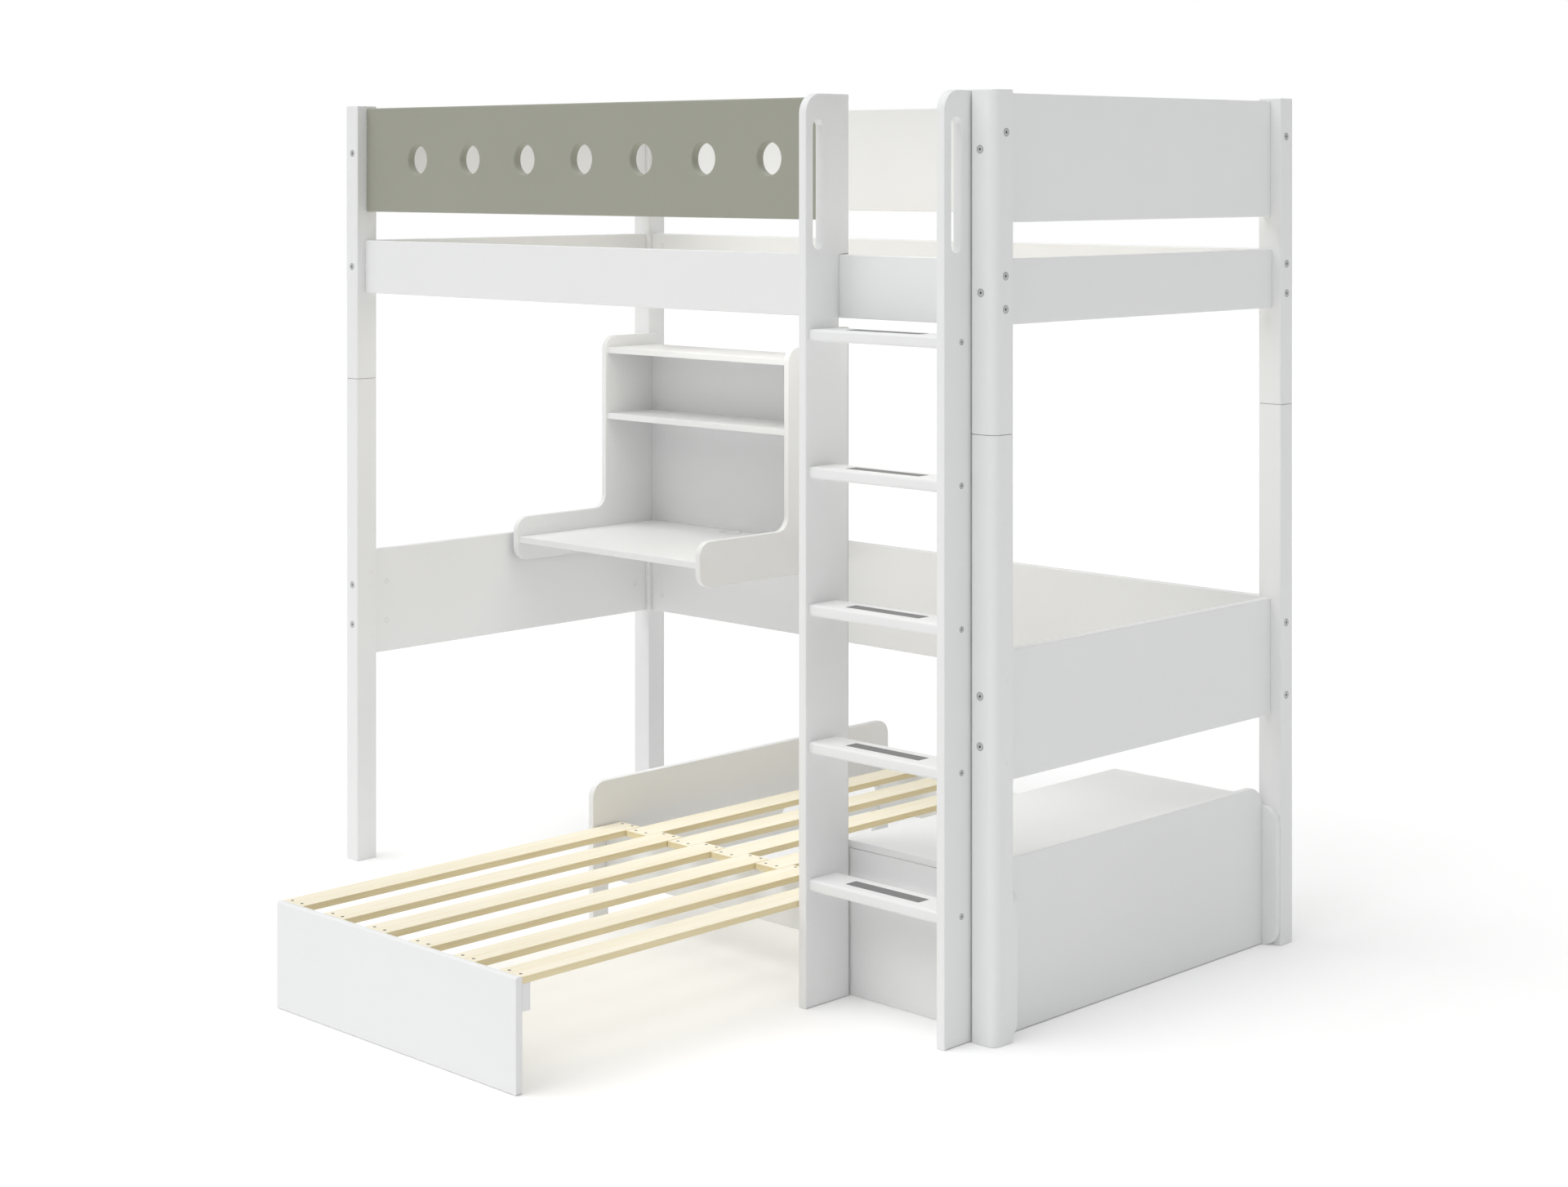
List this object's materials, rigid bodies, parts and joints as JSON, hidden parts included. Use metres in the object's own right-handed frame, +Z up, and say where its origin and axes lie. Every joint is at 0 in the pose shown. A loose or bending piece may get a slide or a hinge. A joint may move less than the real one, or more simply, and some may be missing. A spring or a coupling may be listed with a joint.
{
  "type": "loft bed",
  "caption": "Loft bed with a ladder, a guard rail with round holes, a hanging desk, a sofa bed that pulls out and a storage chest with a hinged lid.",
  "frame": {"origin": "on the floor, in the middle of the length and of the whole depth with the sofa bed pulled out", "axes": "+X along the mattress towards the ladder end, +Y to the back of the bed, +Z up"},
  "size_m": [2.1, 1.857, 1.864],
  "materials": {
    "white_paint": "white lacquer, satin",
    "sage_paint": "grey-green lacquer, satin",
    "bare_wood": "planed pale softwood",
    "grip_rubber": "matt, grained",
    "bolt_steel": "zinc plated",
    "hinge_steel": "satin nickel",
    "white_plastic": "matt"
  },
  "bodies": {
    "frame": {"back_guard_panel": "white_paint", "back_left_lower_post": "white_paint", "back_left_upper_post": "white_paint", "back_lower_panel": "white_paint", "back_rail": "white_paint", "back_right_lower_post": "white_paint", "back_right_upper_post": "white_paint", "chest_back_panel": "white_paint", "chest_end_panel": "white_paint", "chest_floor": "white_paint", "chest_front_panel": "white_paint", "chest_inner_panel": "white_paint", "desk_back_panel": "white_paint", "desk_bolts": "bolt_steel", "desk_grommet": "white_plastic", "desk_left_gable": "white_paint", "desk_right_gable": "white_paint", "desktop": "white_paint", "fixed_slats": "bare_wood", "frame_bolts": "bolt_steel", "front_guard_panel": "sage_paint", "front_left_lower_post": "white_paint", "front_left_upper_post": "white_paint", "front_rail": "white_paint", "front_right_lower_post": "white_paint", "front_right_upper_post": "white_paint", "hinge_fixed_leaves": "hinge_steel", "hinge_pins": "hinge_steel", "ladder_bolts": "bolt_steel", "left_guard_panel": "white_paint", "left_lower_panel": "white_paint", "left_rail": "white_paint", "left_stringer": "white_paint", "mattress_ledges": "white_paint", "mattress_slats": "bare_wood", "middle_shelf": "white_paint", "post_tenons": "bare_wood", "right_guard_panel": "white_paint", "right_lower_panel": "white_paint", "right_rail": "white_paint", "right_stringer": "white_paint", "sofa_apron": "white_paint", "sofa_back_rail": "white_paint", "sofa_side_panel": "white_paint", "stringer_spacer": "white_plastic", "tread_1": "white_paint", "tread_2": "white_paint", "tread_3": "white_paint", "tread_4": "white_paint", "tread_5": "white_paint", "tread_strips": "grip_rubber", "upper_shelf": "white_paint"},
    "pull_out": {"pullout_front": "white_paint", "pullout_batten": "white_paint", "pullout_crossbar": "white_paint", "pullout_slats": "bare_wood"},
    "chest_lid": {"chest_lid": "white_paint", "hinge_lid_leaves": "hinge_steel"}
  },
  "joints": [
    {"name": "pull_out_slide", "type": "slide", "parent": "frame", "child": "pull_out", "axis": [0, 1, 0], "range_m": [0, 0.8605]},
    {"name": "lid_hinge", "type": "hinge", "parent": "frame", "child": "chest_lid", "pos_m": [0.9923, 0.4105, 0.3235], "axis": [0, 1, 0], "range_deg": [0, 92]}
  ]
}
